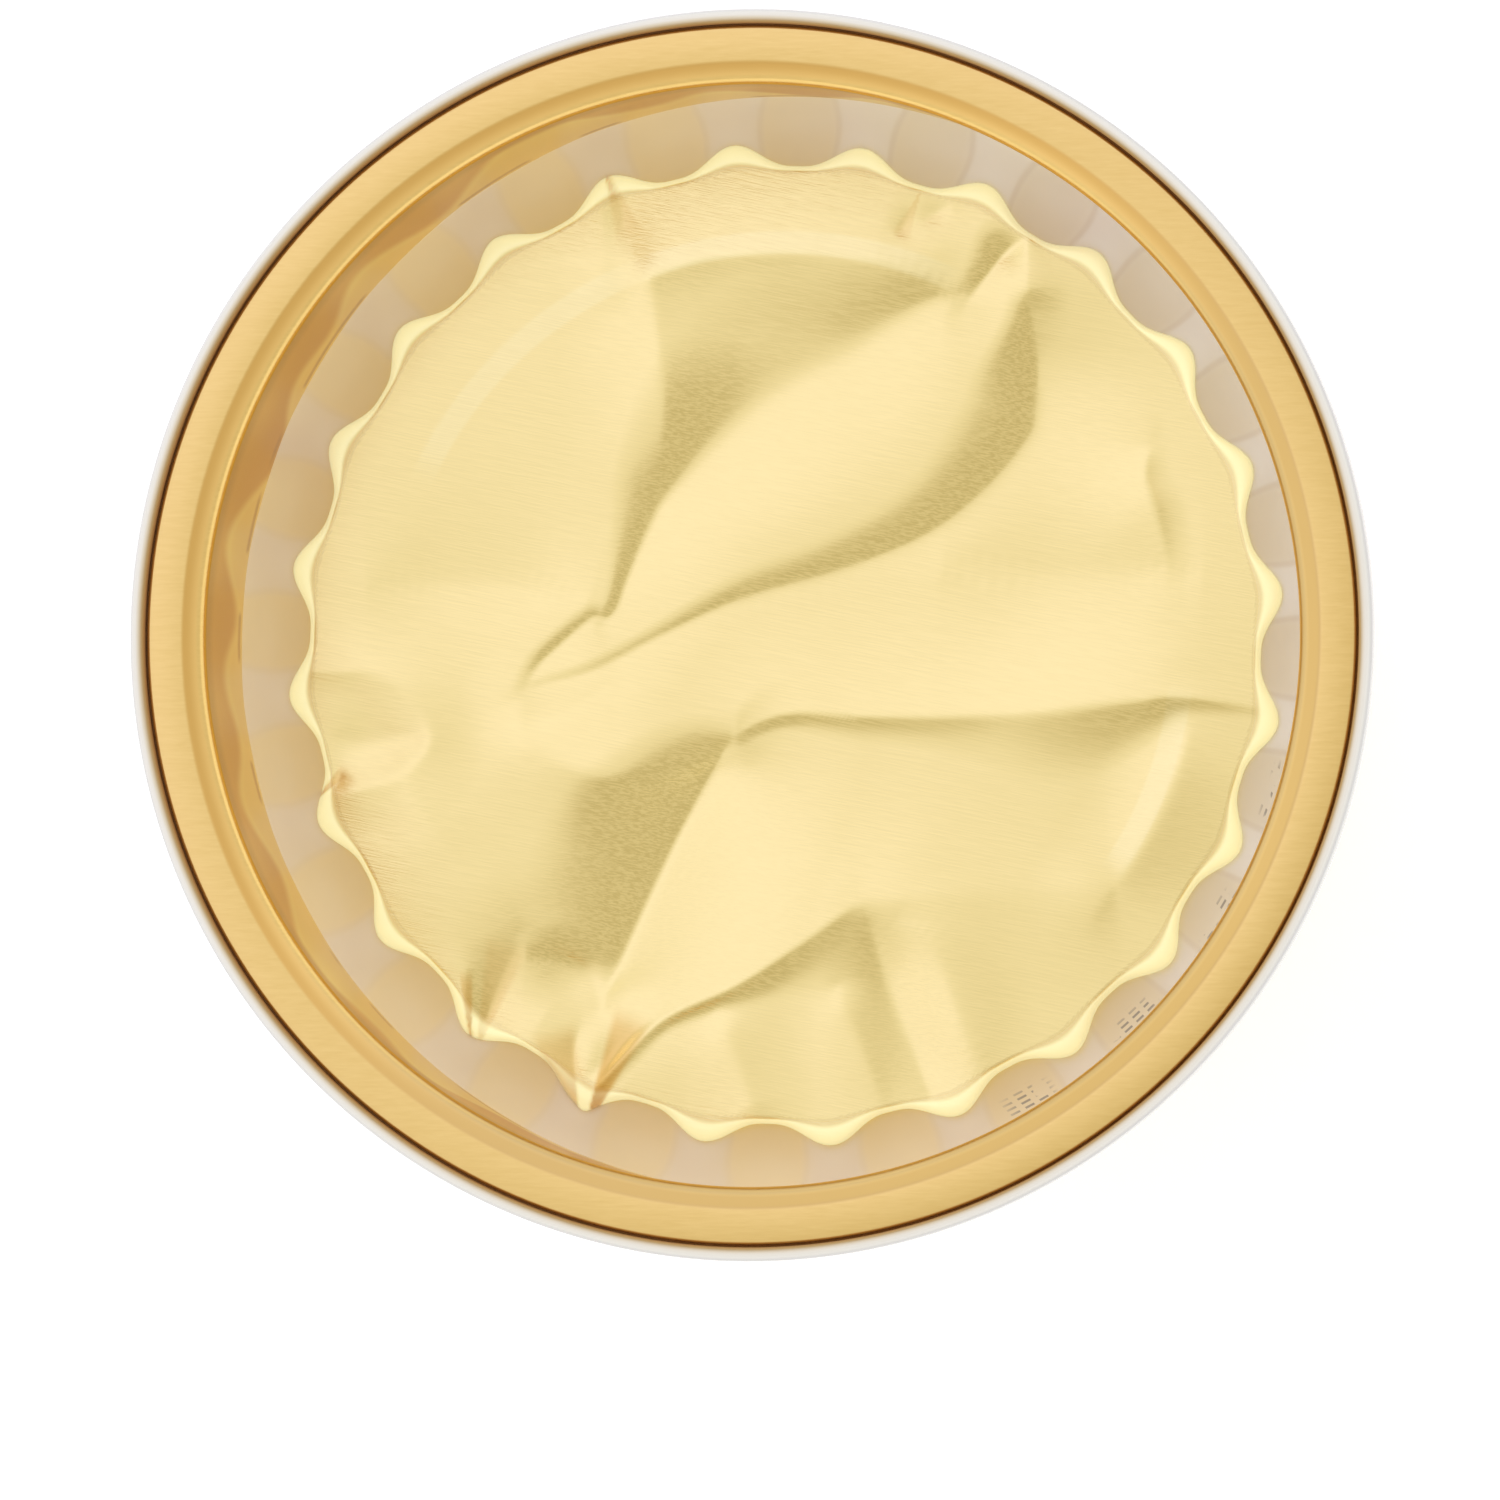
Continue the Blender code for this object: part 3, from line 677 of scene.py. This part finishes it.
def foil_edge(angle):
    """The foil's radius in millimetres. At the deepest gather the edge runs out to a point."""
    off_tip = (angle - GATHER_AT + math.pi) % (2 * math.pi) - math.pi
    return VALLEY_R + (CREST_R - VALLEY_R) * flute(angle) + GATHER_REACH * np.exp(-(off_tip / GATHER_WIDTH) ** 2)


def rim_share(x, y):
    """0 on the flat of the foil, rising to 1 at its turned-down edge."""
    radius, angle = np.hypot(x, y), np.arctan2(y, x)
    line = VALLEY_R - RIM_INSET + RIM_SWING * flute(angle)
    return np.clip((radius - line) / (foil_edge(angle) - line), 0, 1)


def foil_height(x, y):
    """The crumpled height over the foil's plane, in millimetres."""
    relief = sum(fold_height(x, y, rows) for rows in (*BIG_FOLDS.values(), *SMALL_FOLDS.values()))
    turned = rim_share(x, y)
    loss = np.where(relief > 0, RIDGE_LOSS, VALLEY_LOSS)
    return relief * (1 - loss * blend(turned, 0, 1)) - RIM_DROP * turned ** 5


print(f"{FLUTES} flutes between radius {VALLEY_R} and {CREST_R}")

# %% Press the foil
FOIL_Z = 73.0
FOIL_FOOT_Z = 71.1
FOIL_CELLS = 300
DRAW_IN = 0.8  # the share of the radius from which the disc is drawn in to the flutes


def disc_places(u, v):
    """Pull the places of a square from -1 to 1 onto the unit disc, rings of the square onto circles."""
    wide = np.abs(u) > np.abs(v)
    radius = np.where(wide, u, v)
    safe = np.where(radius == 0, 1, radius)
    turn = np.where(wide, math.pi / 4 * v / safe, math.pi / 2 - math.pi / 4 * u / safe)
    return radius * np.cos(turn), radius * np.sin(turn)


def moved(shape, move):
    """Move every vertex of a bmesh by a function of its x, y, z in millimetres."""
    places = np.array([v.co for v in shape.verts]) / MM
    for vertex, place in zip(shape.verts, np.stack(move(*places.T), axis=1) * MM):
        vertex.co = place


def press_foil(u, v, z):
    """Grid places to the crumpled foil's places."""
    x, y = disc_places(u, v)
    share, angle = np.hypot(x, y), np.arctan2(y, x)
    radius = share * (CREST_R + (foil_edge(angle) - CREST_R) * blend(share, DRAW_IN, 1))
    x, y = radius * np.cos(angle), radius * np.sin(angle)
    return x, y, FOIL_Z + foil_height(x, y)


shape = bmesh.new()
bmesh.ops.create_grid(shape, x_segments=FOIL_CELLS, y_segments=FOIL_CELLS, size=MM)
moved(shape, press_foil)
skirt = bmesh.ops.extrude_edge_only(shape, edges=[edge for edge in shape.edges if edge.is_boundary])["geom"]
for item in skirt:
    if isinstance(item, bmesh.types.BMVert):
        item.co.z = FOIL_FOOT_Z * MM
bmesh.ops.edgeloop_fill(shape, edges=[edge for edge in shape.edges if edge.is_boundary])
bmesh.ops.recalc_face_normals(shape, faces=shape.faces)
heights = [vertex.co.z / MM for vertex in shape.verts if vertex.co.z > (FOIL_FOOT_Z + 0.1) * MM]
print(f"foil pressed to between {min(heights):.2f} and {max(heights):.2f} mm high")

# %% [markdown]
# ## Tones stored on the foil
# Some tones follow the sheet's shape: a painted highlight on the embossed band, the turned-down edge, painted shade
# on the side of each fold that leans away from the light, and a painted brown reflection in the gathers. An image
# would have to be drawn and unwrapped for them. Each is a function of the place instead, whose value is stored at
# every vertex, and the material reads it by its name.

# %% Tones by the sheet's shape
BAND_R = (31.6, 33.5)
# Each stretch of the band that catches the light, as a painted highlight: its middle and half its length, in degrees.
BAND_HIGHLIGHTS = ((133.5, 23), (88, 26), (-20.5, 15))
BAND_BLUR = 0.1
LEAN_IN_SHADE = (0.06, 0.20)


def painted(made, name, tone):
    """Store a function of x, y in millimetres and the surface's lean at every vertex, for the material to read."""
    mesh = made.data
    places, normals = np.empty(3 * len(mesh.vertices)), np.empty(3 * len(mesh.vertices))
    mesh.vertices.foreach_get("co", places)
    mesh.vertices.foreach_get("normal", normals)
    x, y, z = places.reshape(-1, 3).T / MM
    values = tone(x, y, normals.reshape(-1, 3).T)
    mesh.attributes.new(name, "FLOAT", "POINT").data.foreach_set("value", values)
    print(f"{made.name}: {name} from {values.min():.2f} to {values.max():.2f}")


def edge_tone(x, y, normal):
    """0 on the flat of the foil, 1 at the brink of its turned-down edge."""
    return rim_share(x, y)


def band_highlight_tone(x, y, normal):
    """1 on the stretches of the embossed band that catch the light, for a painted highlight."""
    radius, angle = np.hypot(x, y), np.degrees(np.arctan2(y, x))
    inner, outer = BAND_R
    on_band = blend(radius, inner - BAND_BLUR, inner + BAND_BLUR)
    on_band *= 1 - blend(radius, outer - BAND_BLUR, outer + BAND_BLUR)
    return on_band * sum(1 - blend(np.abs(angle - middle), 0.7 * half, half) for middle, half in BAND_HIGHLIGHTS)


def turned_away(x, y, normal):
    """1 where the sheet leans away from the light, to the lower right."""
    lean = math.radians(LIGHT_TURN)
    return blend(-(normal[0] * math.cos(lean) + normal[1] * math.sin(lean)), *LEAN_IN_SHADE)


print("tones by shape ready: edge, band and shade")

# %% Tones of the gathers
# One row a gathered facet: its tip x, y, its far end x, y, its width there, and how brown its painted reflection is.
FACETS = [(-16.6, -39.6, -18.9, -30.6, 4.4, 0.75), (-16.3, -39.6, -11.9, -29.4, 4.0, 1.0),
          (-25.4, -33.2, -25.9, -26.0, 1.3, 0.9), (-25.1, -33.0, -22.2, -23.4, 4.4, 0.35),
          (-38.4, -12.6, -35.7, -9.9, 1.2, 0.8), (-14.8, 39.4, -12.2, 32.6, 2.8, 0.35),
          (-14.8, 39.2, -13.5, 35.6, 0.8, 0.8), (11.3, 36.6, 9.5, 32.6, 1.8, 0.3)]


def facet_tone(x, y, normal):
    """1 on the narrow facets where the sheet is gathered at its edge: they get a painted reflection of the gold around
    them.
    """
    tone = np.zeros(x.shape)
    for tip_x, tip_y, end_x, end_y, width, brown in FACETS:
        length = math.hypot(end_x - tip_x, end_y - tip_y)
        run_x, run_y = (end_x - tip_x) / length, (end_y - tip_y) / length
        out = ((x - tip_x) * run_x + (y - tip_y) * run_y) / length
        across = np.abs((x - tip_x) * run_y - (y - tip_y) * run_x) / (width * np.clip(out, 0.05, 1) / 2)
        wedge = (1 - blend(across, 0.6, 1.1)) * blend(out, 0, 0.06) * (1 - 0.65 * out) * (1 - blend(out, 0.8, 1.0))
        tone = np.maximum(tone, brown * wedge)
    return tone


print(f"{len(FACETS)} gathered facets")

# %% [markdown]
# ## The foil's finish
# Gold-lacquered aluminium, rolled before it was pressed: hairlines run the same way over the whole sheet. They
# are fine bumps, and a darker streak goes with them, faint on the flat and strong as painted shade where the sheet
# leans away from the light. The gathered facets get a painted brown reflection of the gold around them. The
# turned-down edge is duller, with a paler painted highlight and a thin painted shade along its bend. Metal stays
# dark wherever it mirrors something dark, so the edge is mostly not metallic here and gets a painted glow of its
# own.

# %% Gold foil finish
HAIR_SLOPE = math.radians(-12)
HAIR_LENGTH = 28.0
HAIR_SCALE = 8000.0
HAIR_DEPTH = 0.000013  # in metres, as the Bump node wants
SHEET_GOLD = opaque(0.985, 0.82, 0.37)
# The band's painted highlight.
BAND_HIGHLIGHT_GOLD = opaque(1.0, 0.855, 0.42)
SHADE_GOLD = opaque(0.71, 0.57, 0.21)
# A paler painted highlight for the turned-down edge, and painted shade along its bend.
EDGE_HIGHLIGHT_GOLD = opaque(1.0, 0.865, 0.43)
BEND_SHADE_GOLD = opaque(0.78, 0.62, 0.27)
# The gathered facets' painted brown reflection of the gold.
FACET_REFLECTION_BROWN = opaque(0.72, 0.39, 0.055)
BRINK_GLOW = opaque(0.31, 0.385, 0.28)
NO_GLOW = opaque(0, 0, 0)

foil_gold, shader, place = finish("foil_gold", {"Metallic": 1.0, "Roughness": 0.3, "Emission Strength": 1.0})
rolled = place.node("ShaderNodeMapping", {"Vector": place, "Rotation": (0, 0, HAIR_SLOPE),
                                          "Scale": (HAIR_LENGTH, 1.0, 1.0)}, {"vector_type": "TEXTURE"})
hair = rolled.node("ShaderNodeTexNoise", {"Vector": rolled, "Scale": HAIR_SCALE, "Detail": 2.0, "Roughness": 0.6})
streak = hair.rise(0.36, 0.64)
rim, band = painted_tone(place, "rim"), painted_tone(place, "band")
# Painted highlight on the stretches of the band that catch the light.
sheet = band.mix(SHEET_GOLD, BAND_HIGHLIGHT_GOLD)
in_shade = painted_tone(place, "away") * (0.05 + 0.52 * streak) + 0.06 * streak
sheet = in_shade.mix(sheet, SHADE_GOLD)
facet = painted_tone(place, "facet")
# Painted shade along the bend where the flat turns down, then a paler painted highlight and a painted glow on the
# turned-down edge.
bend_shade = rim.rise(0.0, 0.04) * (1 - rim.rise(0.08, 0.2))
edge, brink = rim.rise(0.06, 0.25), rim.rise(0.18, 0.42) * (1 - 0.8 * facet)
sheet = edge.mix(sheet, EDGE_HIGHLIGHT_GOLD)
sheet = (0.35 * bend_shade).mix(sheet, BEND_SHADE_GOLD)
# The gathered facets get a painted brown reflection.
feed(shader, "Base Color", facet.mix(sheet, FACET_REFLECTION_BROWN))
feed(shader, "Metallic", 1 - 0.8 * brink)
# The brink's painted glow.
feed(shader, "Emission Color", brink.mix(NO_GLOW, BRINK_GLOW))
feed(shader, "Roughness", 0.18 + 0.08 * hair + 0.2 * edge)
bump = hair.node("ShaderNodeBump", {"Height": hair, "Strength": 1.0, "Distance": HAIR_DEPTH})
feed(shader, "Normal", bump)
foil = piece("foil_disc", shape, [foil_gold], "foil_seal", sharp=180.0)
painted(foil, "rim", edge_tone)
painted(foil, "band", band_highlight_tone)
painted(foil, "away", turned_away)
painted(foil, "facet", facet_tone)

# %% [markdown]
# ## The pleated film
# Between the foil and the sleeve a thin film rises in pleats: a ridge at each crest of the foil, and a dished
# lobe in each of its valleys, with a faint line at each fold. It is spun flat, like the ring, and then each vertex
# is raised by a function that knows the foil's edge, so that the pleats meet the flutes.

# %% Pleat the film
LINER_R = SLEEVE_FOOT_R - 0.02
LINER_FOOT_Z = RECESS_FLOOR_Z + GAP
UNDER_FOIL_Z = FOIL_FOOT_Z - 0.2
FILM_Z = 72.35
RIDGE_RISE = 0.45
LOBE_DIP = 0.4
WALL_CURL = 0.35
SHELF_R = VALLEY_R - 2.5
SHELF_RINGS = 48
SIDES_PER_FLUTE = 24
# The pleats rise over this stretch inside the foil's edge.
TUCKED_UNDER = (1.6, 0.6)


def across_film(radius, angle):
    """0 at the foil's edge, 1 at the sleeve."""
    return np.clip((radius - foil_edge(angle)) / (LINER_R - foil_edge(angle)), 0, 1)


def pleat(x, y, z):
    """Raise the shelf outside the foil into ridges and lobes."""
    radius, angle = np.hypot(x, y), np.arctan2(y, x)
    edge = foil_edge(angle)
    out = blend(radius, edge - TUCKED_UNDER[0], edge - TUCKED_UNDER[1])
    across = across_film(radius, angle)
    lobe = 1 - flute(angle)
    height = RIDGE_RISE * flute(angle) * across - LOBE_DIP * lobe * np.sin(math.pi * across) + WALL_CURL * across ** 4
    top = z > UNDER_FOIL_Z - 0.1
    return x, y, np.where(top, z + (FILM_Z - UNDER_FOIL_Z + height) * out, z)


film_profile = [(radius, UNDER_FOIL_Z) for radius in np.linspace(SHELF_R, LINER_R, SHELF_RINGS)]
film_profile += [(LINER_R, LINER_FOOT_Z), (SHELF_R, LINER_FOOT_Z)]
shape = spun(film_profile, FLUTES * SIDES_PER_FLUTE, closed=True)
moved(shape, pleat)
print(f"film pleated in {FLUTES * SIDES_PER_FLUTE} sides")

# %% [markdown]
# ## The film's finish
# The real film is clear. See-through plastic over metal is slow to render and hard to bake, so here it is a
# milky sheet with the colours that show through the real one: the gold's in the lobes at the left, and greyer to
# the right, where rows of short bars also stand in for small print under it.

# %% Tones of the pleats
PRINT_SPAN = (-66, -62, -14, -10)  # in degrees: where the print fades in and out
PRINT_ACROSS = (0.3, 0.45, 0.9, 0.97)  # the same, as shares of the way from the foil to the sleeve


def ridge_tone(x, y, normal):
    """1 on the ridges that run out from the foil's crests, 0 in the lobes, whose sides are round."""
    radius, angle = np.hypot(x, y), np.arctan2(y, x)
    across = across_film(radius, angle)
    middle = 0.45 + 0.12 * np.sin(math.pi * across) - 0.12 * across
    return blend(flute(angle), middle - 0.22, middle + 0.22)


def print_tone(x, y, normal):
    """Strong where the small print lies: the outer half of the lobes at the lower right."""
    radius, angle = np.hypot(x, y), np.arctan2(y, x)
    turn = np.degrees(angle)
    span = blend(turn, *PRINT_SPAN[:2]) * (1 - blend(turn, *PRINT_SPAN[2:]))
    across = across_film(radius, angle)
    band = blend(across, *PRINT_ACROSS[:2]) * (1 - blend(across, *PRINT_ACROSS[2:]))
    return 0.7 * span * band * (1 - blend(flute(angle), 0.1, 0.3))


print("tones of the pleats ready")

# %% Milky film finish
WARM_LOBES = (opaque(0.92, 0.78, 0.49), opaque(0.96, 0.83, 0.55))
GREY_LOBE = opaque(0.88, 0.84, 0.74)
RIDGES = (opaque(0.91, 0.81, 0.64), opaque(0.92, 0.91, 0.88))
FOLD_BROWN = opaque(0.55, 0.42, 0.28)
INK = opaque(0.22, 0.20, 0.19)
ROW_PACE = 14.0  # in radians of its sine to a millimetre, as is the next
BAR_PACE = 5.0

film, shader, place = finish("film_milky", {"Roughness": 0.35})
cloud = place.node("ShaderNodeTexNoise", {"Vector": place, "Scale": 150.0, "Detail": 2.0})
warm_lobe = cloud.mix(*WARM_LOBES)
rightward = along(place, (0.94, 0.34, 0)).rise(-5, 36)
lobe_colour = rightward.mix(warm_lobe, GREY_LOBE)
ridge_colour = rightward.mix(*RIDGES)
ridge = painted_tone(place, "ridge")
film_colour = ridge.mix(lobe_colour, ridge_colour)
fold_line = ridge.rise(0.1, 0.45) * (1 - ridge.rise(0.55, 0.9)) * (0.04 + 0.14 * rightward)
film_colour = fold_line.mix(film_colour, FOLD_BROWN)

# Rows of short bars at the lower right, with some of them missing.
rows = (off_axis(place) * ROW_PACE).sine().rise(0.1, 0.6)
bars = (along(place, (0.71, 0.71, 0)) * BAR_PACE).sine().rise(-0.5, -0.2)
kept = place.node("ShaderNodeTexNoise", {"Vector": place, "Scale": 700.0, "Detail": 0.0}).rise(0.38, 0.44)
printed = painted_tone(place, "print") * rows * bars * kept
feed(shader, "Base Color", printed.mix(film_colour, INK))
liner = piece("pleated_film", shape, [film], "pleated_liner", sharp=60.0)
painted(liner, "ridge", ridge_tone)
painted(liner, "print", print_tone)
